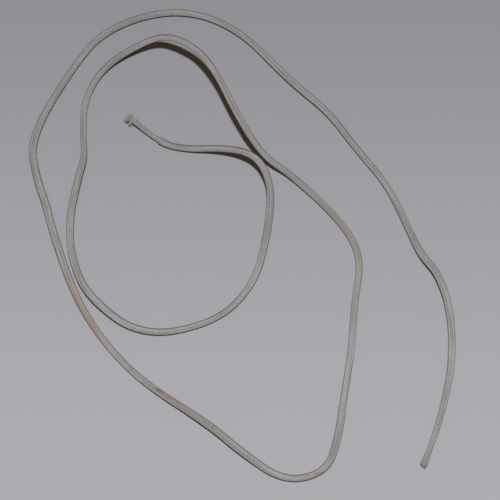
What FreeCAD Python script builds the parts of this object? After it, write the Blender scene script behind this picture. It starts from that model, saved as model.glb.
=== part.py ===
import FreeCAD, Part
import math
import os
import Sketcher

from FreeCAD import Placement, Rotation, Vector

# A bare braided textile cord that lies in a loose open spiral.
# Millimetres. X runs to the right and Y away along the surface, Z is up and the surface is Z = 0.
# The origin is in the middle of the box that the cord fills, on the surface.

# Driving sizes: alias, value, meaning.
SIZES = (
    ("route_unit", 1.0, "length of one unit of the route, along the surface and upward"),
    ("cord_diameter", 3.0, "across the braided sheath, where it is truly round"),
    ("corner_set_in", 0.02, "how far the sheath's corners stay inside that round"),
    ("ferrule_seat", 10.0, "length of the round stretch at the cut end that takes a ferrule"),
    ("rest_flat_depth", 0.3, "how deep the underside is flat where the cord lies on the surface"),
    ("sheath_wall", 0.55, "thickness of the braid, corner to corner"),
    ("core_play", 0.03, "room between the core's corners and the flats of the bore"),
    ("yarn_width", 0.8, "width of one flattened sheath yarn"),
    ("yarn_thickness", 0.36, "thickness of one flattened sheath yarn"),
    ("fray_length", 4.2, "usual length of a loose sheath yarn beyond the braid"),
    ("fray_bend", 2.0, "usual radius in which a loose yarn turns outward"),
    ("core_yarn_diameter", 0.66, "thickness of one loose core yarn"),
    ("core_yarn_seat", 0.39, "distance of a core yarn's middle from the cord's middle"),
    ("core_fray_length", 2.8, "usual length of a loose core yarn beyond the braid"),
    ("stub_length", 0.8, "mean length of the yarn ends beyond the braid at the cut end"),
    ("stub_slant", 0.45, "how much more or less than the mean the slanted cut leaves at the sides"),
)

# One side of the sheath for each pair of the braid's sixteen yarns, and a coarser section for the core.
SHEATH_SIDES = 8
CORE_SIDES = 6

# The route of the cord's middle in route units: X, Y and the lift above lying on the surface.
# It starts at the frayed inner end and runs outward through two and a half open loops.
ROUTE = (
    (-49.0, 56.0, 1.9),
    (-38.0, 45.5, 0.0),
    (-25.0, 43.5, 0.3),
    (-11.0, 43.5, 2.3),
    (2.0, 42.0, 7.2),
    (9.0, 36.0, 7.8),
    (13.0, 24.0, 3.4),
    (10.5, 4.5, 0.3),
    (5.0, -17.0, 0.0),
    (-11.0, -34.5, 0.0),
    (-45.0, -42.0, 0.0),
    (-71.5, -22.0, 0.0),
    (-80.0, 9.0, 0.0),
    (-71.0, 40.5, 0.0),
    (-72.0, 66.0, 0.0),
    (-62.5, 81.5, 0.2),
    (-42.5, 92.0, 4.8),
    (-31.5, 94.0, 9.0),
    (-15.5, 85.0, 12.8),
    (0.0, 54.5, 13.2),
    (10.5, 40.0, 7.0),
    (22.0, 31.5, 1.4),
    (45.0, 9.5, 0.0),
    (53.0, -6.0, 0.0),
    (50.0, -25.5, 0.0),
    (48.5, -47.0, 0.0),
    (45.0, -69.0, 0.0),
    (43.0, -86.0, 0.0),
    (38.0, -102.0, 0.0),
    (19.0, -106.5, 0.0),
    (0.0, -94.0, 0.0),
    (-15.5, -80.5, 0.0),
    (-45.5, -61.0, 0.0),
    (-63.5, -41.5, 0.0),
    (-76.0, -20.5, 0.0),
    (-85.0, 9.5, 0.0),
    (-91.5, 29.0, 0.0),
    (-95.8, 47.5, 0.0),
    (-78.0, 78.0, 0.0),
    (-62.5, 96.5, 0.0),
    (-33.0, 107.0, 0.0),
    (-4.5, 99.5, 0.0),
    (22.5, 73.5, 0.0),
    (38.0, 59.5, 0.0),
    (65.0, 26.5, 0.0),
    (77.0, 2.0, 0.0),
    (88.0, -12.5, 0.0),
    (94.1, -29.0, 0.0),
    (94.6, -54.0, 0.0),
    (88.5, -78.5, 0.0),
    (81.3, -97.7, 0.4),
)

# An arc takes this share of the shorter of its two runs on each side of a route point.
ARC_SHARE = 0.45

# Loose sheath yarns at the frayed end, each for a pair of the braid's: clock angle round the cord,
# how far the yarn leans outward, its share of fray_bend and its share of fray_length. Clock 0 is the
# cord's left, seen looking out of its end, and 90 is up.
FRAYED_SHEATH_YARNS = (
    (0, 115, 0.4, 0.5),
    (45, 25, 1.0, 1.15),
    (90, 12, 1.0, 0.9),
    (135, 14, 1.0, 1.0),
    (180, 7, 1.0, 1.1),
    (225, 9, 1.0, 0.95),
    (270, 10, 1.0, 0.85),
    (315, 30, 1.0, 1.05),
)

# Loose core yarns at the frayed end, described the same way, their lengths by core_fray_length.
FRAYED_CORE_YARNS = (
    (30, 20, 1.0, 1.0),
    (150, 8, 1.0, 0.85),
    (270, 6, 1.0, 1.1),
)

# Points on the route that the gap between its strands is measured from.
GAP_SAMPLES = 600

# Two strands count as lying side by side when the cord between them is longer than this many diameters.
DIAMETERS_APART = 8

FULL_TURN = 360.0


def make_sheet(doc):
    """Puts the driving sizes in a spreadsheet, one alias a row, and returns their values."""
    sheet = doc.addObject("Spreadsheet::Sheet", "Sizes")
    for row, (alias, value, meaning) in enumerate(SIZES, start=1):
        sheet.set(f"A{row}", alias)
        sheet.set(f"B{row}", str(value))
        sheet.set(f"C{row}", meaning)
        sheet.setAlias(f"B{row}", alias)
    doc.recompute()
    return {alias: float(sheet.get(alias)) for alias, _, _ in SIZES}


def route_points(values):
    """Gives the route with the cord's middle at its resting height wherever it isn't lifted."""
    unit = values["route_unit"]
    rest_height = values["cord_diameter"] / 2 - values["rest_flat_depth"]
    return [Vector(x * unit, y * unit, rest_height + lift * unit) for x, y, lift in ROUTE]


def rounded_wire(points):
    """Joins the route's runs by tangent arcs, prints their radii and returns the wire."""
    edges = []
    radii = []
    start = points[0]
    for before, corner, after in zip(points, points[1:], points[2:]):
        along_in = (corner - before).normalize()
        along_out = (after - corner).normalize()
        turn = along_in.getAngle(along_out)
        reach = ARC_SHARE * min((corner - before).Length, (after - corner).Length)
        radius = reach / math.tan(turn / 2)
        arc_start = corner - along_in * reach
        arc_end = corner + along_out * reach
        to_centre = (along_out - along_in).normalize()
        arc_middle = corner + to_centre * (radius / math.cos(turn / 2) - radius)
        edges.append(Part.LineSegment(start, arc_start).toShape())
        edges.append(Part.Arc(arc_start, arc_middle, arc_end).toShape())
        radii.append(radius)
        start = arc_end
    edges.append(Part.LineSegment(start, points[-1]).toShape())
    print("arc radii:", " ".join(f"{radius:.0f}" for radius in radii))
    print(f"tightest arc {min(radii):.1f}, route {Part.Wire(edges).Length:.1f} long")
    return Part.Wire(edges)


def print_least_gap(wire, cord_diameter):
    """Measures on points how close two strands of the cord come to each other."""
    points = wire.discretize(Number=GAP_SAMPLES)
    step = wire.Length / (GAP_SAMPLES - 1)
    skip = int(DIAMETERS_APART * cord_diameter / step) + 1
    least = min(
        point.distanceToPoint(other)
        for index, point in enumerate(points)
        for other in points[index + skip :]
    )
    print(f"least gap between strands {least - cord_diameter:.2f}")


class CordEnd:
    """The place and directions at one end of the cord, looking out of it."""

    def __init__(self, tip, neighbour):
        self.tip = tip
        self.outward = (tip - neighbour).normalize()
        self.left = Vector(0, 0, 1).cross(self.outward).normalize()
        self.up = self.outward.cross(self.left)

    def seat(self, clock, distance):
        """Places a yarn's own frame: Z out of the cord, X away from the cord's middle."""
        angle = math.radians(clock)
        radial = self.left * math.cos(angle) + self.up * math.sin(angle)
        across = self.outward.cross(radial)
        return Placement(self.tip + radial * distance, Rotation(radial, across, self.outward, "ZXY"))


def make_tube(doc, name, sides, radius_formula, wire_feature, end):
    """Sweeps a regular polygon, whose corners lie at the given radius, along the cord's wire."""
    section = doc.addObject("Part::RegularPolygon", f"{name}_section")
    section.Polygon = sides
    section.setExpression("Circumradius", radius_formula)
    half_side = Rotation(Vector(0, 0, 1), FULL_TURN / sides / 2)
    section.Placement = Placement(end.tip, end.seat(0, 0).Rotation.multiply(half_side))
    tube = doc.addObject("Part::Sweep", name)
    tube.Sections = [section]
    edge_names = [f"Edge{number + 1}" for number in range(len(wire_feature.Shape.Edges))]
    tube.Spine = (wire_feature, edge_names)
    tube.Solid = True
    tube.Frenet = False
    return tube


def print_sweep_volume(tube, length):
    """Prints a swept tube's volume beside what its section and length give."""
    section = tube.Sections[0].Shape
    expected = Part.Face(Part.Wire(section.Edges)).Area * length
    print(f"{tube.Name}: volume {tube.Shape.Volume:.1f}, section times length {expected:.1f}")


def make_ferrule_seat(doc, end):
    """Makes the truly round stretch that reaches back from the cut end."""
    seat = doc.addObject("Part::Cylinder", "ferrule_seat")
    seat.setExpression("Radius", "Sizes.cord_diameter / 2")
    seat.setExpression("Height", "Sizes.ferrule_seat")
    turn_back = Rotation(Vector(1, 0, 0), FULL_TURN / 2)
    seat.Placement = Placement(end.tip, end.seat(0, 0).Rotation.multiply(turn_back))
    return seat


def make_fuse(doc, name, base, tool):
    """Joins two overlapping shapes into one."""
    fuse = doc.addObject("Part::Fuse", name)
    fuse.Base = base
    fuse.Tool = tool
    return fuse


def make_surface_block(doc, box, cord_diameter):
    """Makes the block below the surface, a cord wider than the lay all round, that cuts the cord flat."""
    block = doc.addObject("Part::Box", "surface_block")
    block.setExpression("Length", f"{box.XLength:.3f} + 2 * Sizes.cord_diameter")
    block.setExpression("Width", f"{box.YLength:.3f} + 2 * Sizes.cord_diameter")
    block.setExpression("Height", "Sizes.cord_diameter")
    corner = Vector(box.XMin - cord_diameter, box.YMin - cord_diameter, -cord_diameter)
    block.Placement = Placement(corner, Rotation())
    return block


def make_cut(doc, name, base, tool):
    """Cuts one shape out of another."""
    cut = doc.addObject("Part::Cut", name)
    cut.Base = base
    cut.Tool = tool
    return cut


def plane_of(body, role):
    """Finds one of the body's own origin planes."""
    return next(item for item in body.Origin.OriginFeatures if item.Role == role)


def new_sketch(body, name, role):
    """Makes a sketch on one of the body's own origin planes."""
    sketch = body.newObject("Sketcher::SketchObject", name)
    sketch.AttachmentSupport = [(plane_of(body, role), "")]
    sketch.MapMode = "FlatFace"
    return sketch


def fix(sketch, name, formula, *constraint):
    """Adds a named dimension and ties it to the sheet."""
    index = sketch.addConstraint(Sketcher.Constraint(*constraint))
    sketch.renameConstraint(index, name)
    sketch.setExpression(f"Constraints.{name}", formula)


def draw_yarn_section(sketch, width_formula, width, thickness_formula, thickness):
    """Draws a yarn's six-sided section, middle at the origin, with its width along Y."""
    flat = width / 2
    corners = [
        Vector(thickness / 2, -flat / 2, 0),
        Vector(thickness / 2, flat / 2, 0),
        Vector(0, width / 2, 0),
        Vector(-thickness / 2, flat / 2, 0),
        Vector(-thickness / 2, -flat / 2, 0),
        Vector(0, -width / 2, 0),
    ]
    count = len(corners)
    for index, corner in enumerate(corners):
        sketch.addGeometry(Part.LineSegment(corner, corners[(index + 1) % count]))
    for index in range(count):
        sketch.addConstraint(Sketcher.Constraint("Coincident", index, 2, (index + 1) % count, 1))
    for index in range(count // 2):
        opposite = index + count // 2
        sketch.addConstraint(Sketcher.Constraint("Symmetric", index, 1, opposite, 1, -1, 1))
    sketch.addConstraint(Sketcher.Constraint("Symmetric", 0, 1, 0, 2, -1))
    sketch.addConstraint(Sketcher.Constraint("PointOnObject", 2, 1, -2))
    fix(sketch, "thickness", thickness_formula, "DistanceX", 3, 1, 0, 2, thickness)
    fix(sketch, "width", width_formula, "DistanceY", 5, 1, 2, 1, width)
    fix(sketch, "flat_side", f"({width_formula}) / 2", "DistanceY", 0, 1, 0, 2, flat)


def draw_sheath_yarn(sketch, values):
    """Draws the flattened section of a sheath yarn."""
    width = values["yarn_width"]
    thickness = values["yarn_thickness"]
    draw_yarn_section(sketch, "Sizes.yarn_width", width, "Sizes.yarn_thickness", thickness)


def draw_core_yarn(sketch, values):
    """Draws the even six-sided section of a core yarn."""
    width = values["core_yarn_diameter"]
    narrowing = round(math.cos(math.pi / CORE_SIDES), 4)
    across_flats = f"Sizes.core_yarn_diameter * {narrowing}"
    draw_yarn_section(sketch, "Sizes.core_yarn_diameter", width, across_flats, width * narrowing)


def draw_leaning_path(sketch, values, lean, bend_share, length_name, length_share):
    """Draws a yarn's path: an arc that leaves along the cord and leans outward, then a straight run."""
    angle = math.radians(lean)
    bend = values["fray_bend"] * bend_share
    length = values[length_name] * length_share - bend * angle
    bend_formula = f"Sizes.fray_bend * {bend_share}"
    length_formula = f"Sizes.{length_name} * {length_share} - {bend_formula} * {angle:.4f}"
    arc_end = Vector(bend * (1 - math.cos(angle)), bend * math.sin(angle), 0)
    run_end = arc_end + Vector(math.sin(angle), math.cos(angle), 0) * length
    bend_circle = Part.Circle(Vector(bend, 0, 0), Vector(0, 0, 1), bend)
    sketch.addGeometry(Part.ArcOfCircle(bend_circle, math.pi - angle, math.pi))
    sketch.addGeometry(Part.LineSegment(arc_end, run_end))
    sketch.addConstraint(Sketcher.Constraint("Coincident", 0, 2, -1, 1))
    sketch.addConstraint(Sketcher.Constraint("PointOnObject", 0, 3, -1))
    sketch.addConstraint(Sketcher.Constraint("Tangent", 0, 1, 1, 1))
    fix(sketch, "bend_radius", bend_formula, "Radius", 0, bend)
    fix(sketch, "run_length", length_formula, "Distance", 1, length)
    lean_from_surface = math.pi / 2 - angle
    sketch.addConstraint(Sketcher.Constraint("Angle", 1, lean_from_surface))


def make_loose_yarn(doc, name, values, draw_section, path_sizes):
    """Makes one loose yarn that leaves the braid along the cord and leans outward."""
    body = doc.addObject("PartDesign::Body", name)
    section = new_sketch(body, f"{name}_section", "XY_Plane")
    draw_section(section, values)
    path = new_sketch(body, f"{name}_path", "XZ_Plane")
    draw_leaning_path(path, values, *path_sizes)
    doc.recompute()
    pipe = body.newObject("PartDesign::AdditivePipe", f"{name}_pipe")
    pipe.Profile = section
    pipe.Spine = (path, ["Edge1", "Edge2"])
    body.Tip = pipe
    return body


def make_yarn_stub(doc, name, values, length_formula):
    """Makes one short yarn end that the slanted cut leaves standing beyond the braid."""
    body = doc.addObject("PartDesign::Body", name)
    section = new_sketch(body, f"{name}_section", "XY_Plane")
    draw_sheath_yarn(section, values)
    pad = body.newObject("PartDesign::Pad", f"{name}_pad")
    pad.Profile = section
    pad.setExpression("Length", length_formula)
    body.Tip = pad
    return body


def finish(part, label, placement=None):
    """Names a sub-part and, where it has its own frame, puts it in its place."""
    part.Label = label
    if placement is not None:
        part.Placement = placement
    return part


def build_cord(doc, values):
    """Builds the sheath round its core along the whole route and returns both with the two ends."""
    points = route_points(values)
    wire_feature = doc.addObject("Part::Feature", "cord_wire")
    wire_feature.Shape = rounded_wire(points)
    print_least_gap(wire_feature.Shape, values["cord_diameter"])
    frayed_end = CordEnd(points[0], points[1])
    cut_end = CordEnd(points[-1], points[-2])

    outer_radius = "Sizes.cord_diameter / 2 - Sizes.corner_set_in"
    bore_radius = f"({outer_radius} - Sizes.sheath_wall)"
    bore_flat = f"{bore_radius} * cos({FULL_TURN / SHEATH_SIDES / 2} deg)"
    outside = make_tube(doc, "sheath_outside", SHEATH_SIDES, outer_radius, wire_feature, frayed_end)
    bore = make_tube(doc, "sheath_bore", SHEATH_SIDES, bore_radius, wire_feature, frayed_end)
    whole_outside = make_fuse(doc, "sheath_whole_outside", outside, make_ferrule_seat(doc, cut_end))
    surface_block = make_surface_block(doc, wire_feature.Shape.BoundBox, values["cord_diameter"])
    flat_outside = make_cut(doc, "sheath_flat_outside", whole_outside, surface_block)
    sheath = make_cut(doc, "sheath", flat_outside, bore)
    core = make_tube(doc, "core", CORE_SIDES, f"{bore_flat} - Sizes.core_play", wire_feature, frayed_end)
    doc.recompute()
    for tube in (outside, bore, core):
        print_sweep_volume(tube, wire_feature.Shape.Length)
    return [finish(sheath, "braided_sheath"), finish(core, "core_bundle")], frayed_end, cut_end


def sheath_middle(values):
    """Gives the distance from the cord's middle to the middle of the sheath's wall, across the flats."""
    half_side = math.radians(FULL_TURN / SHEATH_SIDES / 2)
    return (values["cord_diameter"] - values["sheath_wall"]) / 2 * math.cos(half_side)


def build_frayed_end(doc, values, end):
    """Builds the loose sheath and core yarns that stand out of the frayed end."""
    parts = []
    for number, (clock, lean, bend_share, share) in enumerate(FRAYED_SHEATH_YARNS, start=1):
        label = f"frayed_sheath_yarn_{number}"
        path_sizes = (lean, bend_share, "fray_length", share)
        yarn = make_loose_yarn(doc, label, values, draw_sheath_yarn, path_sizes)
        parts.append(finish(yarn, label, end.seat(clock, sheath_middle(values))))
    for number, (clock, lean, bend_share, share) in enumerate(FRAYED_CORE_YARNS, start=1):
        label = f"frayed_core_yarn_{number}"
        path_sizes = (lean, bend_share, "core_fray_length", share)
        yarn = make_loose_yarn(doc, label, values, draw_core_yarn, path_sizes)
        parts.append(finish(yarn, label, end.seat(clock, values["core_yarn_seat"])))
    return parts


def build_cut_end(doc, values, end):
    """Builds the ring of short yarn ends that follows the slanted cut."""
    parts = []
    for number in range(SHEATH_SIDES):
        label = f"cut_sheath_yarn_{number + 1}"
        clock = number * FULL_TURN / SHEATH_SIDES
        length_formula = f"Sizes.stub_length + Sizes.stub_slant * cos({clock} deg)"
        stub = make_yarn_stub(doc, label, values, length_formula)
        parts.append(finish(stub, label, end.seat(clock, sheath_middle(values))))
    return parts


def check(doc, parts):
    """Stops with the names of any object that failed to compute or any sub-part that isn't a good solid."""
    failed = [item.Name for item in doc.Objects if {"Invalid", "Error"} & set(item.State)]
    for part in parts:
        if part.Shape.isNull() or not part.Shape.isValid() or part.Shape.Volume <= 0:
            failed.append(part.Label)
    if failed:
        raise RuntimeError("failed: " + ", ".join(failed))


def print_extents(parts):
    """Prints how far all the sub-parts together reach along each axis."""
    box = FreeCAD.BoundBox()
    for part in parts:
        box.add(part.Shape.optimalBoundingBox(False, False))
    print(f"{len(parts)} sub-parts")
    print(f"X {box.XMin:.2f} to {box.XMax:.2f}")
    print(f"Y {box.YMin:.2f} to {box.YMax:.2f}")
    print(f"Z {box.ZMin:.2f} to {box.ZMax:.2f}")


def main():
    doc = FreeCAD.newDocument("braided_cord")
    values = make_sheet(doc)
    parts, frayed_end, cut_end = build_cord(doc, values)
    parts += build_frayed_end(doc, values, frayed_end)
    parts += build_cut_end(doc, values, cut_end)
    doc.recompute()
    check(doc, parts)
    os.makedirs("parts", exist_ok=True)
    for part in parts:
        part.Shape.exportStep(f"parts/{part.Label}.step")
    print_extents(parts)


main()
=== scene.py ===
import logging
import math
from dataclasses import dataclass, field
from enum import Enum
from typing import Any, Sequence

import bpy
import numpy as np
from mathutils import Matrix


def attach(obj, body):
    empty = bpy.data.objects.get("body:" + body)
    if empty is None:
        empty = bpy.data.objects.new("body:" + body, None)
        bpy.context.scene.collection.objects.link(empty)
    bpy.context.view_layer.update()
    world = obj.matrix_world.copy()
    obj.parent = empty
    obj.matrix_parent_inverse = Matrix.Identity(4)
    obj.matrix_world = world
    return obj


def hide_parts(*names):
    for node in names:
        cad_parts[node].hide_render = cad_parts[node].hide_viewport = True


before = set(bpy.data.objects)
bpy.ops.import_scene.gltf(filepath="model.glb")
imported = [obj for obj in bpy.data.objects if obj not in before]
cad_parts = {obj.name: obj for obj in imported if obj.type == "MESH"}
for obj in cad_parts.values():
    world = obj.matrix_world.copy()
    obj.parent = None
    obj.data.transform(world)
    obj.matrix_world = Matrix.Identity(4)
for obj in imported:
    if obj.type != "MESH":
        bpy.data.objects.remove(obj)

LOG = logging.getLogger("braided_cord")
MM = 0.001
BODY = "root"
# A direction along which no fibre runs, to start its own directions from.
ASKEW = (0.31, 0.52, 0.79)

# The route of the cord's middle in millimetres: points given along the tube, which the line rounds off.
ROUTE = (
    (-49.0, 56.0, 2.3),
    (-37.8, 46.0, 0.8),
    (-25.0, 43.3, 0.9),
    (-11.0, 43.8, 3.1),
    (2.0, 42.2, 8.2),
    (9.3, 36.0, 8.8),
    (13.0, 24.0, 4.2),
    (10.8, 4.5, 1.4),
    (5.3, -17.0, 1.0),
    (-11.4, -34.3, 0.8),
    (-45.0, -41.4, 0.9),
    (-69.3, -23.5, 2.8),
    (-76.9, -6.8, 2.4),
    (-78.4, 11.0, 1.6),
    (-74.0, 31.2, 2.5),
    (-71.2, 39.8, 2.2),
    (-71.9, 49.5, 1.0),
    (-71.5, 65.9, 0.8),
    (-62.2, 81.1, 1.0),
    (-42.6, 92.4, 6.2),
    (-31.5, 94.0, 12.9),
    (-15.7, 84.8, 14.2),
    (-0.3, 54.1, 14.3),
    (9.9, 39.4, 6.2),
    (22.1, 31.6, 1.0),
    (45.4, 9.8, 0.9),
    (53.5, -6.0, 1.0),
    (50.1, -25.5, 1.1),
    (48.9, -47.0, 1.1),
    (45.2, -69.0, 1.1),
    (43.0, -86.0, 1.1),
    (37.8, -101.8, 0.9),
    (19.0, -106.4, 0.8),
    (0.3, -93.7, 1.9),
    (-15.3, -80.2, 2.4),
    (-45.7, -61.3, 0.8),
    (-64.0, -41.9, 0.9),
    (-76.5, -20.7, 2.4),
    (-86.0, 8.2, 3.5),
    (-88.3, 18.2, 3.6),
    (-92.4, 29.6, 3.6),
    (-96.2, 47.6, 1.5),
    (-78.1, 78.1, 0.8),
    (-62.8, 96.9, 0.8),
    (-33.0, 106.8, 0.8),
    (-4.4, 99.8, 0.9),
    (22.1, 73.1, 1.3),
    (38.6, 60.1, 1.3),
    (51.4, 43.0, 0.8),
    (65.4, 26.9, 0.8),
    (76.5, 3.1, 1.2),
    (80.6, -4.7, 2.2),
    (87.8, -12.4, 3.5),
    (93.5, -29.1, 2.0),
    (94.3, -54.0, 1.0),
    (88.6, -78.5, 1.0),
    (84.4, -90.5, 1.0),
    (81.2, -98.7, 1.2),
)

# How thick the cord is along its length: millimetres from the frayed end, and the share of its usual gauge.
GIRTH = (
    (0.0, 0.9),
    (4.0, 0.68),
    (13.5, 0.72),
    (15.0, 1.1),
    (22.0, 1.0),
    (40.0, 1.04),
    (70.0, 1.15),
    (100.0, 1.13),
    (126.0, 0.98),
    (153.0, 0.96),
    (175.0, 1.08),
    (195.0, 1.14),
    (210.0, 1.12),
    (235.0, 1.16),
    (262.0, 1.12),
    (275.0, 0.94),
    (292.0, 0.95),
    (310.0, 0.98),
    (325.0, 1.02),
    (405.0, 1.02),
    (423.0, 0.97),
    (445.0, 1.02),
    (468.0, 1.0),
    (485.0, 1.03),
    (545.0, 1.08),
    (560.0, 1.2),
    (571.0, 1.18),
    (582.0, 1.04),
    (600.0, 1.06),
    (615.0, 1.19),
    (645.0, 1.19),
    (665.0, 1.06),
    (685.0, 1.0),
    (720.0, 1.06),
    (765.0, 1.16),
    (800.0, 1.15),
    (822.0, 1.03),
    (850.0, 0.99),
    (885.0, 1.02),
    (912.0, 0.99),
    (925.0, 0.94),
    (950.0, 1.06),
    (970.0, 1.02),
    (985.0, 1.0),
    (1020.0, 0.98),
    (1032.0, 1.0),
    (1043.0, 1.06),
    (1051.0, 1.17),
    (1062.0, 1.12),
    (1100.0, 1.12),
    (1129.0, 0.96),
    (1143.0, 0.78),
    (1147.0, 0.94),
    (1149.0, 1.08),
)


class Twist(Enum):
    """The way in which a carrier goes round the cord."""

    LEFT = -1.0
    RIGHT = 1.0


def linear(colour: str) -> tuple[float, float, float, float]:
    """Turns an sRGB hex colour to linear values.

    Args:
        colour: six hex digits after a hash.

    Returns:
        Linear red, green and blue, and an alpha of 1.
    """
    channels = [int(colour[i : i + 2], 16) / 255 for i in (1, 3, 5)]
    red, green, blue = (c / 12.92 if c <= 0.04045 else ((c + 0.055) / 1.055) ** 2.4 for c in channels)
    return red, green, blue, 1.0


def add_node(
    tree: bpy.types.NodeTree,
    kind: str,
    inputs: dict[Any, Any],
    output: str | int = 0,
    stops: Sequence[tuple[float, str]] = (),
    **settings: Any,
) -> bpy.types.NodeSocket:
    """Adds one node with its settings, values and links.

    Args:
        tree: the material's node tree.
        kind: the node's type name.
        inputs: socket name or index to a value, or to the socket that feeds it.
        output: name or index of the output that is wanted.
        stops: positions and hex colours in rising order, where the node has a row of them.
        settings: attributes to set on the node.

    Returns:
        The output socket.
    """
    node = tree.nodes.new(kind)
    for name, value in settings.items():
        setattr(node, name, value)
    for name, value in inputs.items():
        if isinstance(value, bpy.types.NodeSocket):
            tree.links.new(value, node.inputs[name])
        else:
            node.inputs[name].default_value = value
    for number, (position, colour) in enumerate(stops):
        elements = node.color_ramp.elements
        element = elements[number] if number < len(elements) else elements.new(position)
        element.position = position
        element.color = linear(colour)
    return node.outputs[output]


def new_material(name: str, surface: dict[str, Any]) -> tuple[bpy.types.Material, bpy.types.ShaderNode]:
    """Makes a node material.

    Args:
        name: the material's name.
        surface: socket name to value, for its shader.

    Returns:
        The material and its shader node.
    """
    made = bpy.data.materials.new(name)
    made.use_nodes = True
    shader = made.node_tree.nodes["Principled BSDF"]
    for socket, value in surface.items():
        shader.inputs[socket].default_value = value
    return made, shader


def round_points(
    middles: np.ndarray, first: np.ndarray, second: np.ndarray, radii: np.ndarray, angles: np.ndarray
) -> np.ndarray:
    """Places points round each ring of a tube.

    Args:
        middles: each ring's middle.
        first: each ring's direction at angle 0.
        second: each ring's direction at a quarter turn.
        radii: how far out each point is.
        angles: where round its ring each point is, in radians.

    Returns:
        The points, ring by ring.
    """
    return (
        middles[:, None, :]
        + (radii * np.cos(angles))[..., None] * first[:, None, :]
        + (radii * np.sin(angles))[..., None] * second[:, None, :]
    )


@dataclass(frozen=True)
class Stain:
    """A mark on the cord at a real place, with soft uneven edges."""

    centre: tuple[float, float]
    reach: tuple[float, float]
    turn: float
    colour: str
    strength: float


# Where the cord is marked: middle and half-lengths in millimetres, and the turn of the long side in degrees.
STAINS = (
    Stain((-37.2, -65.2), (2.7, 1.0), -36.0, "#6E4C31", 0.85),
    Stain((-31.9, -68.2), (5.0, 0.7), -29.0, "#7E5D3E", 0.8),
    Stain((-29.2, -72.0), (1.0, 0.6), -30.0, "#816951", 0.6),
    Stain((-13.4, -81.3), (1.4, 0.5), 58.0, "#8E6736", 0.9),
    Stain((34.0, -102.8), (2.6, 1.6), 20.0, "#9F8154", 0.6),
    Stain((-36.9, 46.6), (1.2, 1.4), 0.0, "#9A8A72", 0.35),
    Stain((-72.5, -31.5), (36.0, 5.5), -62.0, "#9F8F73", 0.43),
    Stain((40.0, 8.0), (24.0, 8.0), -48.0, "#938974", 0.4),
    Stain((-24.0, -75.5), (34.0, 7.0), -37.0, "#8D8880", 0.45),
    Stain((81.8, -97.0), (2.4, 1.8), -70.0, "#8F8981", 0.5),
)


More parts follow.
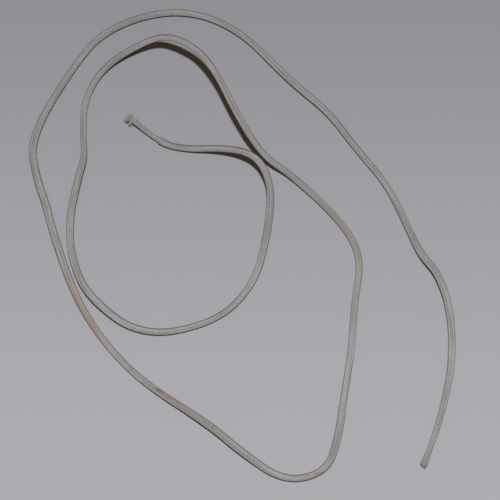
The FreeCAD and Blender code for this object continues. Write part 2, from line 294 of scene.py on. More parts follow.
@dataclass(frozen=True)
class BraidedCottonFinish:
    """Cotton yarn, spun and braided: matt and faintly uneven, with painted shade in the grooves, at the
    cord's sides and towards its back.
    """

    # On top of a yarn, at its side and in the groove beside it: darker towards the groove, as painted shade.
    crown: str = "#A5A5A8"
    side: str = "#9F9FA1"
    painted_groove_shade: str = "#8B8A88"
    # Painted shade darkens the sides of the cord, from this share of its half-width outwards.
    painted_side_shade: str = "#9A948C"
    painted_side_shade_start: float = 0.62
    # A real fibre is about 0.02 mm thick. It is drawn 0.25 mm wide, because a finer one doesn't show.
    fibre_width: float = 0.25
    fibre_slant: float = 14.0
    # Long along the yarn and close together across it.
    fibre_closeness: tuple[float, float, float] = (0.5, 2.0, 1.0)
    fibre_depth: float = 0.05
    streak_contrast: float = 0.08
    # Between these values of a pattern the colour changes by the pattern's contrast.
    pattern_ends: tuple[float, float] = (0.3, 0.7)
    # Dust lies in patches of about this size in millimetres.
    dust: str = "#9A9998"
    dust_patch: float = 9.0
    dust_spread: tuple[float, float] = (0.42, 0.72)
    dust_cover: float = 0.55
    # Uneven spinning leaves thick and thin places. Bright flecks stand for nubs of short fibres and for
    # painted highlight specks.
    lump: float = 0.8
    lump_contrast: float = 0.1
    nub_and_glint: float = 0.7
    nub_and_glint_spread: tuple[float, float] = (0.66, 0.74)
    nub_and_glint_cover: float = 0.8
    bright: str = "#C3C3C1"
    # Faint ridges lie lengthwise, where the cord was pressed and pulled.
    ridge_length: float = 18.0
    ridge_width: float = 0.6
    ridge_contrast: float = 0.19
    # Painted shade makes the far half of the cord darker and greyer than the near half, over this reach in
    # millimetres.
    far_painted_shade: float = 0.88
    far_painted_shade_reach: float = 40.0
    # The marks have ragged edges, with bays of this size in millimetres.
    bay: float = 1.1
    bay_depth: float = 0.9
    mark_edge: tuple[float, float] = (1.55, 0.85)

    def material(self, name: str) -> bpy.types.Material:
        """Makes the material.

        Args:
            name: the material's name.

        Returns:
            A node material that reads the yarn's own run and crown.
        """
        # Rough, hairy yarn throws light back the way it came, so the cord is nearly as bright at its sides
        # as on top.
        surface = {
            "Roughness": 0.88,
            "IOR": 1.53,
            "Specular IOR Level": 0.3,
            "Diffuse Roughness": 1.0,
            "Sheen Weight": 0.05,
            "Sheen Roughness": 0.5,
        }
        made, shader = new_material(name, surface)
        tree = made.node_tree
        crown = add_node(tree, "ShaderNodeAttribute", {}, "Fac", attribute_name="crown")
        painted_side_shade = add_node(tree, "ShaderNodeAttribute", {}, "Fac", attribute_name="painted_side_shade")
        straight = add_node(tree, "ShaderNodeAttribute", {}, "Vector", attribute_name="straight")
        run = add_node(tree, "ShaderNodeUVMap", {}, "UV", uv_map="yarn_run")
        place = add_node(tree, "ShaderNodeTexCoord", {}, "Object")
        across = add_node(tree, "ShaderNodeSeparateXYZ", {"Vector": place}, "Y")

        # Fibres lie along the yarn with a slight slant, which gives fine streaks.
        slant = (0.0, 0.0, math.radians(self.fibre_slant))
        slanted = {"Vector": run, "Rotation": slant, "Scale": self.fibre_closeness}
        along = add_node(tree, "ShaderNodeMapping", slanted, "Vector")
        thin = 1 / self.ridge_width
        drawn = {"Vector": straight, "Scale": (1 / self.ridge_length, thin, thin)}
        lengthwise = add_node(tree, "ShaderNodeMapping", drawn, "Vector")
        names = ("Vector", "Scale", "Detail", "Roughness")
        grains = (
            (along, 1 / self.fibre_width, 3.0, 0.5),
            (lengthwise, 1.0, 1.0, 0.5),
            (place, 1 / (self.lump * MM), 1.5, 0.5),
            (place, 1 / (self.nub_and_glint * MM), 1.5, 0.5),
            (place, 1 / (self.dust_patch * MM), 4.0, 0.6),
        )
        fibres, ridges, lumps, nubs_and_glints, patches = (
            add_node(tree, "ShaderNodeTexNoise", dict(zip(names, grain)), "Fac") for grain in grains
        )

        # Painted shade: each yarn darkens from its top down to the groove beside it.
        row = ((0.0, self.painted_groove_shade), (0.5, self.side), (1.0, self.crown))
        colour = add_node(tree, "ShaderNodeValToRGB", {"Fac": crown}, "Color", stops=row)
        colour = self._covered(tree, colour, patches, self.dust_spread, self.dust_cover, self.dust)
        uneven = ((fibres, self.streak_contrast), (lumps, self.lump_contrast), (ridges, self.ridge_contrast))
        for pattern, contrast in uneven:
            colour = self._toned(tree, colour, pattern, self.pattern_ends, (1 - contrast, 1 + contrast))
        # Bright flecks: nubs of short fibres and painted highlight specks.
        colour = self._covered(tree, colour, nubs_and_glints, self.nub_and_glint_spread, self.nub_and_glint_cover, self.bright)
        # Painted shade at the cord's sides, multiplied over the colour.
        colour = self._covered(tree, colour, painted_side_shade, (self.painted_side_shade_start, 1.0), 1.0, self.painted_side_shade, "MULTIPLY")
        # Painted shade: the cord darkens towards the back.
        reach = self.far_painted_shade_reach * MM
        colour = self._toned(tree, colour, across, (-reach, reach), (1.0, self.far_painted_shade))
        for stain in STAINS:
            colour = self._stained(tree, place, colour, stain)
        tree.links.new(colour, shader.inputs["Base Color"])

        relief = {"Height": fibres, "Strength": 0.5, "Distance": self.fibre_depth * MM}
        tree.links.new(add_node(tree, "ShaderNodeBump", relief, "Normal"), shader.inputs["Normal"])
        return made

    @staticmethod
    def _toned(
        tree: bpy.types.NodeTree,
        colour: bpy.types.NodeSocket,
        amount: bpy.types.NodeSocket,
        ends: tuple[float, float],
        tones: tuple[float, float],
    ) -> bpy.types.NodeSocket:
        """Makes a colour lighter or darker, smoothly, as an amount grows.

        Args:
            tree: the material's node tree.
            colour: the colour.
            amount: what the tone follows.
            ends: the amounts at which the tone starts and stops changing.
            tones: the tone at each end, where 1 leaves the colour as it is.

        Returns:
            The toned colour's socket.
        """
        low, high = tones
        inputs = {"Value": amount, "From Min": ends[0], "From Max": ends[1], "To Min": low, "To Max": high}
        tone = add_node(tree, "ShaderNodeMapRange", inputs, "Result", interpolation_type="SMOOTHSTEP")
        return add_node(tree, "ShaderNodeHueSaturation", {"Color": colour, "Value": tone}, "Color")

    @staticmethod
    def _covered(
        tree: bpy.types.NodeTree,
        colour: bpy.types.NodeSocket,
        amount: bpy.types.NodeSocket,
        ends: tuple[float, float],
        cover: float,
        over: str,
        blend: str = "MIX",
    ) -> bpy.types.NodeSocket:
        """Lays another colour over a colour, with a soft edge, as an amount grows.

        Args:
            tree: the material's node tree.
            colour: the colour underneath.
            amount: what the cover follows.
            ends: the amounts at which the cover starts and is full.
            cover: the full cover's share.
            over: the other colour, in hex.
            blend: how the two mix.

        Returns:
            The covered colour's socket.
        """
        inputs = {"Value": amount, "From Min": ends[0], "From Max": ends[1], "To Max": cover}
        share = add_node(tree, "ShaderNodeMapRange", inputs, "Result", interpolation_type="SMOOTHSTEP")
        colours = {0: share, 6: colour, 7: linear(over)}
        return add_node(tree, "ShaderNodeMix", colours, 2, data_type="RGBA", blend_type=blend)

    def _stained(
        self,
        tree: bpy.types.NodeTree,
        place: bpy.types.NodeSocket,
        colour: bpy.types.NodeSocket,
        stain: Stain,
    ) -> bpy.types.NodeSocket:
        """Lays one mark over the colour.

        Args:
            tree: the material's node tree.
            place: the position on the object.
            colour: the colour under the mark.
            stain: the mark.

        Returns:
            The colour socket with the mark on it.
        """
        (x, y), (long, short) = stain.centre, stain.reach
        spot = {
            "Vector": place,
            "Location": (x * MM, y * MM, 0.0),
            "Rotation": (0.0, 0.0, math.radians(stain.turn)),
            "Scale": (long * MM, short * MM, 1.0),
        }
        moved = add_node(tree, "ShaderNodeMapping", spot, "Vector", vector_type="TEXTURE")
        distance = add_node(tree, "ShaderNodeVectorMath", {0: moved}, "Value", operation="LENGTH")
        ragged = {"Vector": place, "Scale": 1 / (self.bay * MM), "Detail": 3.0}
        bays = {0: add_node(tree, "ShaderNodeTexNoise", ragged, "Fac"), 1: self.bay_depth, 2: distance}
        edge = add_node(tree, "ShaderNodeMath", bays, "Value", operation="MULTIPLY_ADD")
        return self._covered(tree, colour, edge, self.mark_edge, stain.strength, stain.colour)


@dataclass(frozen=True)
class LooseCottonFinish:
    """Loose cotton fibres: unspun and matt, a little darker towards their tips."""

    root: str = "#E4E1DC"
    tip: str = "#CFCBC5"
    # Fibres this thin let light through, to this depth in millimetres, which keeps their shadows soft.
    translucence: float = 0.6
    light_depth: float = 0.5

    def material(self, name: str) -> bpy.types.Material:
        """Makes the material.

        Args:
            name: the material's name.

        Returns:
            A node material that reads each fibre's own shade.
        """
        surface = {
            "Roughness": 0.9,
            "IOR": 1.53,
            "Specular IOR Level": 0.25,
            "Subsurface Weight": self.translucence,
            "Subsurface Radius": (1.0, 0.95, 0.9),
            "Subsurface Scale": self.light_depth * MM,
        }
        made, shader = new_material(name, surface)
        tree = made.node_tree
        crown = add_node(tree, "ShaderNodeAttribute", {}, "Fac", attribute_name="crown")
        row = ((0.0, self.tip), (1.0, self.root))
        colour = add_node(tree, "ShaderNodeValToRGB", {"Fac": crown}, "Color", stops=row)
        tree.links.new(colour, shader.inputs["Base Color"])
        return made


@dataclass(frozen=True)
class PaperFinish:
    """Plain uncoated paper under the cord: matt and smooth, without marks, with painted shade that darkens it
    towards the back.
    """

    # Painted light falloff from front to back: the share of the way, and the colour there.
    tones: tuple[tuple[float, str], ...] = (
        (0.0, "#AEB1B9"),
        (0.25, "#ABAEB6"),
        (0.55, "#A1A4AC"),
        (0.75, "#989BA3"),
        (1.0, "#8D9098"),
    )
    # They run from this far before the middle, in metres, to as far behind it.
    reach: float = 0.12

    def material(self) -> bpy.types.Material:
        """Makes the material, with painted shade: lighter at the front than at the back.

        Returns:
            A node material that reads the position on the paper.
        """
        made, shader = new_material("uncoated_paper", {"Roughness": 0.95, "Specular IOR Level": 0.15})
        tree = made.node_tree
        place = add_node(tree, "ShaderNodeTexCoord", {}, "Object")
        across = add_node(tree, "ShaderNodeSeparateXYZ", {"Vector": place}, "Y")
        run = {"Value": across, "From Min": -self.reach, "From Max": self.reach}
        share = add_node(tree, "ShaderNodeMapRange", run, "Result")
        colour = add_node(tree, "ShaderNodeValToRGB", {"Fac": share}, "Color", stops=self.tones)
        tree.links.new(colour, shader.inputs["Base Color"])
        return made


@dataclass(frozen=True)
class Rings:
    """Evenly spaced places along the cord: how far along, the middle, and the side and up directions."""

    along: np.ndarray
    middles: np.ndarray
    sides: np.ndarray
    ups: np.ndarray


class CordLine:
    """The smooth line down the middle of the cord, with a frame that turns as little as it can along it."""

    def __init__(self, route: Sequence[tuple[float, float, float]]) -> None:
        """Draws the line along the route and measures it.

        Args:
            route: the route's points in millimetres.
        """
        drawn = self._drawn(route)
        gaps = np.linalg.norm(np.diff(drawn, axis=0), axis=1)
        self._travelled = np.concatenate(([0.0], np.cumsum(gaps)))
        self._drawn_points = drawn
        self.length = float(self._travelled[-1])

    @staticmethod
    def _drawn(route: Sequence[tuple[float, float, float]]) -> np.ndarray:
        """Draws a spline whose control points are the route's.

        Args:
            route: the route's points in millimetres.

        Returns:
            Close points on the spline, in metres.
        """
        curve = bpy.data.curves.new("cord_line", "CURVE")
        curve.dimensions = "3D"
        curve.resolution_u = 24
        spline = curve.splines.new("NURBS")
        spline.points.add(len(route) - 1)
        for point, (x, y, z) in zip(spline.points, route):
            point.co = (x * MM, y * MM, z * MM, 1.0)
        spline.order_u = 3
        spline.use_endpoint_u = True
        holder = bpy.data.objects.new("cord_line", curve)
        mesh = bpy.data.meshes.new_from_object(holder)
        points = np.array([vertex.co[:] for vertex in mesh.vertices])
        bpy.data.objects.remove(holder)
        bpy.data.meshes.remove(mesh)
        bpy.data.curves.remove(curve)
        return points

    def rings(self, count: int) -> Rings:
        """Divides the line evenly.

        Args:
            count: how many rings.

        Returns:
            The rings.
        """
        along = np.linspace(0.0, self.length, count)
        middles = np.stack([np.interp(along, self._travelled, axis) for axis in self._drawn_points.T], axis=1)
        forward = np.gradient(middles, axis=0)
        forward /= np.linalg.norm(forward, axis=1)[:, None]
        sides = np.empty_like(middles)
        side = np.cross((0.0, 0.0, 1.0), forward[0])
        for ring, ahead in enumerate(forward):
            side = side - ahead * np.dot(side, ahead)
            side /= np.linalg.norm(side)
            sides[ring] = side
        return Rings(along, middles, sides, np.cross(forward, sides))


@dataclass
class MeshPile:
    """Points, faces and the values that go with them, gathered for one mesh."""

    points: list[np.ndarray] = field(default_factory=list)
    crowns: list[np.ndarray] = field(default_factory=list)
    painted_side_shades: list[np.ndarray] = field(default_factory=list)
    straights: list[np.ndarray] = field(default_factory=list)
    faces: list[np.ndarray] = field(default_factory=list)
    runs: list[np.ndarray] = field(default_factory=list)
    slots: list[np.ndarray] = field(default_factory=list)
    caps: list[tuple[int, ...]] = field(default_factory=list)
    count: int = 0

    def add_tube(
        self,
        points: np.ndarray,
        crowns: np.ndarray,
        travel: np.ndarray,
        slot: int = 0,
        painted_side_shades: np.ndarray | float = 0.0,
        straight: np.ndarray | float = 0.0,
    ) -> None:
        """Adds a closed tube.

        Args:
            points: ring by ring, the points round each ring.
            crowns: a value for each point, 1 on top and 0 underneath.
            travel: how far along each ring is, in millimetres.
            slot: the number of the tube's material.
            painted_side_shades: a value for each point, 1 at the cord's sides and 0 on top of it, for the
                painted shade at the sides.
            straight: where each point lies when the cord is pulled straight, in millimetres.
        """
        rings, around = points.shape[:2]
        index = np.arange(rings * around).reshape(rings, around) + self.count
        turned = np.roll(index, -1, axis=1)
        quads = np.stack((index[:-1], index[1:], turned[1:], turned[:-1]), axis=-1).reshape(-1, 4)
        low = np.broadcast_to(travel[:-1, None], (rings - 1, around))
        high = np.broadcast_to(travel[1:, None], (rings - 1, around))
        across = np.broadcast_to(np.arange(around, dtype=float), (rings - 1, around))
        corners = (
            np.stack((low, across), axis=-1),
            np.stack((high, across), axis=-1),
            np.stack((high, across + 1), axis=-1),
            np.stack((low, across + 1), axis=-1),
        )
        self.points.append(points.reshape(-1, 3))
        self.crowns.append(crowns.reshape(-1))
        self.painted_side_shades.append(np.broadcast_to(painted_side_shades, (rings, around)).reshape(-1))
        self.straights.append(np.broadcast_to(straight, points.shape).reshape(-1, 3))
        self.faces.append(quads)
        self.runs.append(np.stack(corners, axis=2).reshape(-1, 2))
        self.slots.append(np.full(len(quads), slot))
        self.caps.append(tuple(index[0]))
        self.caps.append(tuple(index[-1][::-1]))
        self.count += rings * around

    def _crease(self, mesh: bpy.types.Mesh) -> None:
        """Keeps the shading sharp along the lowest edges, where a yarn dips under its neighbours.

        Args:
            mesh: the mesh made of this pile.
        """
        low = np.concatenate(self.crowns) <= 0.0
        ends = np.empty(len(mesh.edges) * 2, dtype=np.int32)
        mesh.edges.foreach_get("vertices", ends)
        first, second = ends[0::2], ends[1::2]
        mesh.edges.foreach_set("use_edge_sharp", low[first] & low[second])

    def make(self, name: str, materials: Sequence[bpy.types.Material]) -> bpy.types.Object:
        """Makes the object.

        Args:
            name: the object's name.
            materials: its materials in order.

        Returns:
            The new object, linked to the scene.
        """
        faces = [tuple(face) for part in self.faces for face in part.tolist()] + self.caps
        mesh = bpy.data.meshes.new(name)
        mesh.from_pydata(np.concatenate(self.points).tolist(), [], faces)
        slots = np.concatenate(self.slots + [np.zeros(len(self.caps), dtype=int)])
        mesh.polygons.foreach_set("material_index", slots.astype(np.int32))
        mesh.polygons.foreach_set("use_smooth", np.ones(len(faces), dtype=bool))
        self._crease(mesh)
        for attribute, parts in (("crown", self.crowns), ("painted_side_shade", self.painted_side_shades)):
            values = mesh.attributes.new(attribute, "FLOAT", "POINT")
            values.data.foreach_set("value", np.concatenate(parts).astype(np.float32))
        values = mesh.attributes.new("straight", "FLOAT_VECTOR", "POINT")
        values.data.foreach_set("vector", np.concatenate(self.straights).ravel().astype(np.float32))
        run = mesh.uv_layers.new(name="yarn_run")
        spare = sum(len(cap) for cap in self.caps)
        values = np.concatenate(self.runs + [np.zeros((spare, 2))])
        run.data.foreach_set("uv", values.ravel().astype(np.float32))
        for material in materials:
            mesh.materials.append(material)
        mesh.update()
        made = bpy.data.objects.new(name, mesh)
        bpy.context.collection.objects.link(made)
        return made


@dataclass
class BraidedCover:
    """The braid of sixteen yarns, eight each way round, over two and under two, on its core.

    Sizes are in millimetres, and the cover and the shoulder are shares of a yarn's room and half-width.
    """

    line: CordLine
    diameter: float = 3.0
    # How far along the cord a yarn goes in one turn round it.
    pitch: float = 15.6
    yarns_each_way: int = 8
    cover: float = 1.3
    shoulder: float = 0.5
    # How far a yarn's top stands out of its edges, and how far the yarn goes in and out.
    yarn_rise: float = 0.07
    wave: float = 0.03
    # How briskly a yarn goes over and under.
    briskness: float = 1.6
    # How far along a yarn's streaks lie from those of the yarn beside it.
    streak_shift: float = 7.3
    # How much further up the far side of the cord the painted side shade reaches than up the near side.
    painted_side_shade_lean: float = 0.2
    # Rings for each wave of a yarn.
    samples: int = 5
    core_radius: float = 1.25
    core_step: float = 2.2
    core_corners: int = 8
    core_crown: float = 0.1
    # The rounding between the flat underside and the round of the cord.
    settling: float = 0.35
    # Slow swells of the girth: share of the gauge, millimetres for each radian, and the start.
    swells: tuple[tuple[float, float, float], ...] = ((0.012, 6.3, 1.1), (0.01, 14.7, 0.4), (0.008, 2.9, 0.0))
    path: list[tuple[float, ...]] = field(default_factory=list)
    piece: bpy.types.Object | None = None

    def build(self, sheath: bpy.types.Material, core: bpy.types.Material) -> "BraidedCover":
        """Builds the cord's mesh.

        Args:
            sheath: the material of the braided yarns.
            core: the material of the core.

        Returns:
            This cover, with its piece made.
        """
        pile = MeshPile()
        step = self.pitch / self._waves / self.samples * MM
        rings = self.line.rings(int(round(self.line.length / step)) + 1)
        girth = self._girth(rings.along / MM)
        for way in Twist:
            for number in range(self.yarns_each_way):
                self._add_yarn(pile, way, number, rings, girth)
        self._add_core(pile)
        self.path = [tuple(point) for point in rings.middles]
        self.piece = pile.make("braided_cord", (sheath, core))
        return self

    @property
    def _waves(self) -> float:
        """Counts how often a yarn goes over two and under two on one turn round the cord."""
        return self.yarns_each_way / 2

    def _girth(self, along: np.ndarray) -> np.ndarray:
        """Gives the cord's thickness along it, with a slight unevenness.

        Args:
            along: distances along the cord, in millimetres.

        Returns:
            The thickness there, as a share of the cord's gauge.
        """
        places, shares = zip(*GIRTH)
        uneven = sum(share * np.sin(along / run + start) for share, run, start in self.swells)
        return np.interp(along, places, shares) + uneven

    def _add_yarn(self, pile: MeshPile, way: Twist, number: int, rings: Rings, girth: np.ndarray) -> None:
        """Adds one yarn that winds round the cord and weaves over and under the others.

        Args:
            pile: the mesh so far.
            way: which way round it goes.
            number: which of the yarns that go this way.
            rings: the rings that it follows.
            girth: each ring's share of the cord's gauge.
        """
        turn = 2 * math.pi
        phase = turn * number / self.yarns_each_way
        angle = way.value * turn * rings.along / (self.pitch * MM) + phase
        weave = np.cos(self._waves * angle - math.pi / 4)
        weave = np.tanh(self.briskness * weave) / math.tanh(self.briskness)
        middle_radius = self.diameter / 2 - self.wave - self.yarn_rise
        radius = middle_radius + way.value * self.wave * weave
        half = math.pi / self.yarns_each_way * self.cover
        shoulder = half * self.shoulder
        offsets = np.array((half, shoulder, -shoulder, -half))
        rises = np.array((0.0, self.yarn_rise, self.yarn_rise, 0.0))
        angles = angle[:, None] + offsets[None, :]
        radii = (radius[:, None] + rises[None, :]) * girth[:, None] * MM
        points = round_points(rings.middles, rings.sides, rings.ups, radii, angles)
        points[..., 2] = self._pressed(points[..., 2])
        crowns = np.broadcast_to(np.array((0.0, 1.0, 1.0, 0.0)), radii.shape)
        slant = math.hypot(1.0, turn * middle_radius / self.pitch)
        travel = rings.along / MM * slant + number * self.streak_shift
        # Painted shade at the cord's sides: 1 at the edge, reaching further up the far side.
        level = points[..., :2] - rings.middles[:, None, :2]
        leaned = np.linalg.norm(level, axis=-1) + self.painted_side_shade_lean * level[..., 1]
        painted_side_shades = leaned / (self.diameter / 2 * girth[:, None] * MM)
        far = np.broadcast_to(rings.along[:, None], radii.shape)
        straight = np.stack((far, radii * np.cos(angles), radii * np.sin(angles)), axis=-1) / MM
        pile.add_tube(points, crowns, travel, painted_side_shades=painted_side_shades, straight=straight)

    def _add_core(self, pile: MeshPile) -> None:
        """Adds the round core inside the braid, from end to end.

        Args:
            pile: the mesh so far.
        """
        around = np.linspace(0.0, 2 * math.pi, self.core_corners, endpoint=False)
        rings = self.line.rings(int(self.line.length / (self.core_step * MM)))
        radii = self.core_radius * self._girth(rings.along / MM) * MM
        points = round_points(rings.middles, rings.sides, rings.ups, radii[:, None], around)
        points[..., 2] = self._pressed(points[..., 2])
        pile.add_tube(points, np.full(points.shape[:2], self.core_crown), rings.along / MM, slot=1)

    def _pressed(self, heights: np.ndarray) -> np.ndarray:
        """Flattens the underside where the cord lies on the surface.

        Args:
            heights: heights above the surface, in metres.

        Returns:
            The heights of the settled cord.
        """
        soft = self.settling * MM
        return 0.5 * (heights + np.sqrt(heights**2 + soft**2))

    def dress(self, companions: Sequence[bpy.types.Object]) -> None:
        """Args:
            companions: the separate pieces at its ends; not used.
        """
        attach(self.piece, BODY)
        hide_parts("braided_sheath", "core_bundle")


@dataclass(frozen=True)
class CordEnd:
    """The place and directions at one end of the cord, looking out of it."""

    tip: np.ndarray
    outward: np.ndarray

    @classmethod
    def of(cls, line: CordLine, last: bool) -> "CordEnd":
        """Reads one end of the line.

        Args:
            line: the cord's line.
            last: the far end, or else the near one.

        Returns:
            The end.
        """
        # These rings are about a millimetre apart.
        middles = line.rings(1200).middles
        tip, inner = (middles[-1], middles[-4]) if last else (middles[0], middles[3])
        outward = (tip - inner) / np.linalg.norm(tip - inner)
        return cls(tip, outward)

    def directions(self, clock: float) -> tuple[np.ndarray, np.ndarray]:
        """Gives the directions of a yarn's place on the end.

        Args:
            clock: the place's angle round the cord, in degrees from its left.

        Returns:
            The way away from the cord's middle, and the way across it.
        """
        left = np.cross((0.0, 0.0, 1.0), self.outward)
        left /= np.linalg.norm(left)
        up = np.cross(self.outward, left)
        angle = math.radians(clock)
        radial = left * math.cos(angle) + up * math.sin(angle)
        return radial, np.cross(self.outward, radial)


@dataclass
class LooseYarn:
    """One yarn that has come out of the braid or the core and opened into its fibres.

    Sizes are in millimetres, angles in degrees.
    """

    node: str
    clock: float
    lean: float
    bend: float
    length: float
    seat: float = 1.13
    half_width: float = 0.38
    half_thickness: float = 0.19
    fibres: int = 110
    spread: float = 2.2
    seed: int = 0
    slot: str = "frayed_yarn"
    # The still spun root, from inside the cord to where its last fibres leave it, in shares of the length.
    root_run: tuple[float, float] = (-0.08, 0.55)
    root_sizes: tuple[float, ...] = (0.95, 1.0, 1.0, 0.85, 0.62, 0.4, 0.16)
    root_crown: float = 0.3
    # Fibres start and end at these shares of the length, and thin out by this share.
    start: float = 0.02
    reach: tuple[float, float] = (0.7, 1.12)
    fibre_radius: float = 0.033
    gauge: tuple[float, float] = (0.7, 1.15)
    taper: float = 0.7
    # They open slowly at first, more through the yarn's thickness than across it, and curl and waver.
    opening: float = 1.7
    puff: float = 1.3
    curl: float = 0.32
    swing: tuple[float, float] = (0.04, 0.16)
    waves: tuple[float, float] = (3.0, 8.0)
    roll: float = 0.6
    # They grow darker by this much towards the tip, each with a shade of its own.
    fading: float = 0.75
    shade: tuple[float, float] = (-0.25, 0.2)
    # No fibre sinks into the surface below the cord.
    clearance: float = 0.08
    piece: bpy.types.Object | None = None

    def build(self, end: CordEnd, material: bpy.types.Material) -> "LooseYarn":
        """Builds the yarn's root and its fibres.

        Args:
            end: the cord's end that it stands out of.
            material: its material.

        Returns:
            This yarn, with its piece made.
        """
        pile = MeshPile()
        draw = np.random.default_rng(self.seed)
        radial, across = end.directions(self.clock)
        self._add_root(pile, end, radial, across)
        for _ in range(self.fibres):
            self._add_fibre(pile, draw, end, radial, across)
        self.piece = pile.make(self.node + "_fibres", (material,))
        return self

    def _path(self, share: np.ndarray) -> tuple[np.ndarray, np.ndarray, np.ndarray]:
        """Follows the yarn's arc and straight run.

        Args:
            share: shares of the yarn's length.

        Returns:
            How far out of the cord, how far from its middle, and how far the yarn has turned there.
        """
        lean = math.radians(self.lean)
        travelled = share * self.length
        turned = np.minimum(travelled / self.bend, lean)
        run = np.maximum(travelled - self.bend * lean, 0.0)
        out = self.bend * np.sin(turned) + run * math.cos(lean)
        away = self.bend * (1 - np.cos(turned)) + run * math.sin(lean)
        return out, away, turned

    def _placed(
        self,
        end: CordEnd,
        radial: np.ndarray,
        across: np.ndarray,
        share: np.ndarray,
        aside: np.ndarray,
        thick: np.ndarray,
    ) -> np.ndarray:
        """Places points beside the yarn's path.

        Args:
            end: the cord's end.
            radial: the way away from the cord's middle.
            across: the way across the yarn.
            share: shares of the yarn's length.
            aside: offsets across the yarn, in millimetres.
            thick: offsets through its thickness, in millimetres.

        Returns:
            The points in metres.
        """
        out, away, turned = self._path(share)
        along = out - thick * np.sin(turned)
        from_middle = self.seat + away + thick * np.cos(turned)
        local = (
            along[:, None] * end.outward[None, :]
            + from_middle[:, None] * radial[None, :]
            + aside[:, None] * across[None, :]
        )
        return end.tip[None, :] + local * MM

    def _add_root(self, pile: MeshPile, end: CordEnd, radial: np.ndarray, across: np.ndarray) -> None:
        """Adds the still spun start of the yarn, which thins out where its fibres leave it.

        Args:
            pile: the mesh so far.
            end: the cord's end.
            radial: the way away from the cord's middle.
            across: the way across the yarn.
        """
        sizes = np.array(self.root_sizes)
        shares = np.linspace(*self.root_run, len(sizes))
        around = np.linspace(0.0, 2 * math.pi, 8, endpoint=False)
        columns = []
        for angle in around:
            aside = self.half_width * sizes * math.cos(angle)
            thick = self.half_thickness * sizes * math.sin(angle)
            columns.append(self._placed(end, radial, across, shares, aside, thick))
        points = np.stack(columns, axis=1)
        crowns = np.broadcast_to(np.linspace(0.0, self.root_crown, len(shares))[:, None], points.shape[:2])
        pile.add_tube(points, crowns, shares * self.length)

    def _add_fibre(
        self, pile: MeshPile, draw: np.random.Generator, end: CordEnd, radial: np.ndarray, across: np.ndarray
    ) -> None:
        """Adds one fibre that leaves the root and curls a little its own way.

        Args:
            pile: the mesh so far.
            draw: the yarn's random draws.
            end: the cord's end.
            radial: the way away from the cord's middle.
            across: the way across the yarn.
        """
        steps = np.linspace(0.0, 1.0, 7)
        shares = self.start + steps * draw.uniform(*self.reach)
        angle = draw.uniform(0.0, 2 * math.pi)
        out_of_middle = math.sqrt(draw.uniform(0.1, 1.0))
        start_aside = self.half_width * out_of_middle * math.cos(angle)
        start_thick = self.half_thickness * out_of_middle * math.sin(angle)
        opened = 1 + self.spread * steps**self.opening
        curl = draw.normal(0.0, self.curl, 2)
        swing = draw.uniform(*self.swing)
        phase = draw.uniform(0.0, 2 * math.pi)
        wiggle = swing * np.sin(phase + steps * draw.uniform(*self.waves)) * steps
        aside = start_aside * opened + curl[0] * steps**2 + wiggle
        thick = start_thick * opened * self.puff + curl[1] * steps**2 - wiggle * self.roll
        middles = self._placed(end, radial, across, shares, aside, thick)
        middles[:, 2] = np.maximum(middles[:, 2], self.clearance * MM)
        forward = np.gradient(middles, axis=0)
        forward /= np.linalg.norm(forward, axis=1)[:, None]
        first = np.cross(forward, ASKEW)
        first /= np.linalg.norm(first, axis=1)[:, None]
        second = np.cross(forward, first)
        radii = self.fibre_radius * draw.uniform(*self.gauge) * (1 - self.taper * steps) * MM
        around = np.linspace(0.0, 2 * math.pi, 3, endpoint=False)
        points = round_points(middles, first, second, radii[:, None], around)
        shade = np.clip(1.0 - self.fading * steps + draw.uniform(*self.shade), 0.0, 1.0)
        crowns = np.broadcast_to(shade[:, None], points.shape[:2])
        pile.add_tube(points, crowns, shares * self.length)

    def dress(self) -> None:
        """Rides the yarn on its body and hides the imported part that it replaces."""
        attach(self.piece, BODY)
        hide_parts(self.node)


@dataclass
class FrayedEnd:
    """The tuft at the inner end: loose sheath yarns round loose core yarns.

    Each yarn has its clock angle and its lean, then the radius of its bend and its length.
    """

    sheath_yarns: Sequence[tuple[float, float, float, float]] = (
        (0, 115, 0.8, 2.2),
        (45, 17, 2.0, 4.4),
        (90, 9, 2.0, 4.1),
        (135, 6, 2.0, 3.8),
        (180, 2, 2.0, 3.1),
        (225, 4, 2.0, 3.5),
        (270, 7, 2.0, 4.0),
        (315, 21, 2.0, 4.2),
    )
    core_yarns: Sequence[tuple[float, float, float, float]] = (
        (30, 20, 2.0, 2.8),
        (150, 8, 2.0, 2.4),
        (270, 6, 2.0, 3.1),
    )

    def build(self, end: CordEnd, material: bpy.types.Material) -> list[LooseYarn]:
        """Builds every loose yarn.

        Args:
            end: the cord's frayed end.
            material: the loose fibres' material.

        Returns:
            The yarns.
        """
        core = {"seat": 0.4, "half_width": 0.3, "half_thickness": 0.3, "slot": "core"}
        made = []
        for number, sizes in enumerate(self.sheath_yarns, start=1):
            yarn = LooseYarn(f"frayed_sheath_yarn_{number}", *sizes, seed=number)
            made.append(yarn.build(end, material))
        for number, sizes in enumerate(self.core_yarns, start=1):
            yarn = LooseYarn(f"frayed_core_yarn_{number}", *sizes, seed=20 + number, **core)
            made.append(yarn.build(end, material))
        return made


@dataclass
class CutEnd:
    """The ring of short yarn ends at the outer end, cut off at a slant.

    The slant is how much longer the longest end is than the middle one, in millimetres.
    """

    yarns: int = 8
    length: float = 0.8
    slant: float = 0.45
    lean: float = 4.0
    bend: float = 2.0

    def build(self, end: CordEnd, material: bpy.types.Material) -> list[LooseYarn]:
        """Builds every yarn end.

        Args:
            end: the cord's cut end.
            material: the loose fibres' material.

        Returns:
            The yarn ends.
        """
        cut = {"seat": 1.02, "spread": 0.5, "fibres": 30, "slot": "cut_yarn"}
        made = []
        for number in range(self.yarns):
            clock = number * 360 / self.yarns
            length = self.length + self.slant * math.cos(math.radians(clock))
            sizes = (clock, self.lean, self.bend, length)
            yarn = LooseYarn(f"cut_sheath_yarn_{number + 1}", *sizes, seed=40 + number, **cut)
            made.append(yarn.build(end, material))
        return made


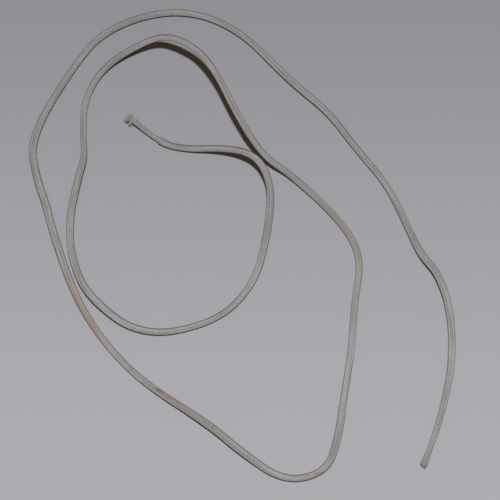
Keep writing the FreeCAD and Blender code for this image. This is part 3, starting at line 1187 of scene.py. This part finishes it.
@dataclass
class Studio:
    """The paper, the key lamp, the warm fill and the camera straight above, with sizes in metres."""

    paper_half: float = 1.5
    frame_width: float = 0.225
    camera_height: float = 2.5
    camera_centre: tuple[float, float] = (0.00315, -0.002025)
    # The sensor in millimetres, and the lamp's width in degrees.
    sensor_width: float = 36.0
    key_angle: float = 4.0
    # How far the key light runs towards the front for each metre that it falls.
    key_slope: float = 0.31
    key_energy: float = 2.85
    key_colour: tuple[float, float, float] = (1.0, 0.995, 0.99)
    fill_colour: tuple[float, float, float, float] = (1.0, 0.7, 0.4, 1.0)
    fill_strength: float = 0.13

    def build(self) -> None:
        """Builds the paper, the lamps and the camera."""
        self._lay_paper()
        self._light()
        self._aim_camera()

    def _lay_paper(self) -> None:
        """Lays the sheet that the cord rests on."""
        half = self.paper_half
        mesh = bpy.data.meshes.new("paper")
        corners = [(-half, -half, 0), (half, -half, 0), (half, half, 0), (-half, half, 0)]
        mesh.from_pydata(corners, [], [(0, 1, 2, 3)])
        mesh.materials.append(PaperFinish().material())
        paper = bpy.data.objects.new("paper", mesh)
        bpy.context.collection.objects.link(paper)

    def _light(self) -> None:
        """Sets a key light high behind the cord and a weak warm fill from all round."""
        key = bpy.data.lights.new("key", "SUN")
        key.energy = self.key_energy
        key.angle = math.radians(self.key_angle)
        key.color = self.key_colour
        lamp = bpy.data.objects.new("key", key)
        lamp.rotation_euler = (-math.atan(self.key_slope), 0.0, 0.0)
        bpy.context.collection.objects.link(lamp)
        world = bpy.data.worlds.new("room")
        bpy.context.scene.world = world
        world.use_nodes = True
        fill = world.node_tree.nodes["Background"]
        fill.inputs["Color"].default_value = self.fill_colour
        fill.inputs["Strength"].default_value = self.fill_strength

    def _aim_camera(self) -> None:
        """Hangs the camera straight above, its frame as wide as the photographed field."""
        lens = bpy.data.cameras.new("camera")
        lens.sensor_width = self.sensor_width
        lens.lens = self.sensor_width * self.camera_height / self.frame_width
        lens.clip_end = 20.0
        camera = bpy.data.objects.new("camera", lens)
        camera.location = (*self.camera_centre, self.camera_height)
        bpy.context.collection.objects.link(camera)
        bpy.context.scene.camera = camera


def main() -> None:
    """Builds the cord, its ends and the studio, and reports each piece."""
    logging.basicConfig(level=logging.INFO, format="%(message)s")
    bpy.context.scene.view_settings.view_transform = "Standard"
    sheath = BraidedCottonFinish().material("braided_cotton")
    # The core is painted dark, as painted shade where it shows between the yarns. The cut ends are a little
    # greyer than the tuft.
    core = LooseCottonFinish(root="#7A756C", tip="#6A655C", translucence=0.0).material("cotton_core_painted_shade")
    loose = LooseCottonFinish().material("loose_cotton_fibres")
    cut = LooseCottonFinish(root="#CDC9C4", tip="#B6B1AA").material("cut_cotton_fibres")

    line = CordLine(ROUTE)
    cover = BraidedCover(line).build(sheath, core)
    LOG.info("braided cord: %.1f mm long, %d faces", line.length / MM, len(cover.piece.data.polygons))

    ends = FrayedEnd().build(CordEnd.of(line, last=False), loose)
    ends += CutEnd().build(CordEnd.of(line, last=True), cut)
    for yarn in ends:
        yarn.dress()
        LOG.info("%s: %d faces", yarn.piece.name, len(yarn.piece.data.polygons))
    cover.dress([yarn.piece for yarn in ends])
    Studio().build()
    LOG.info("studio: paper, key, fill and camera")


if __name__ == "__main__":
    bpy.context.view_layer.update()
    main()
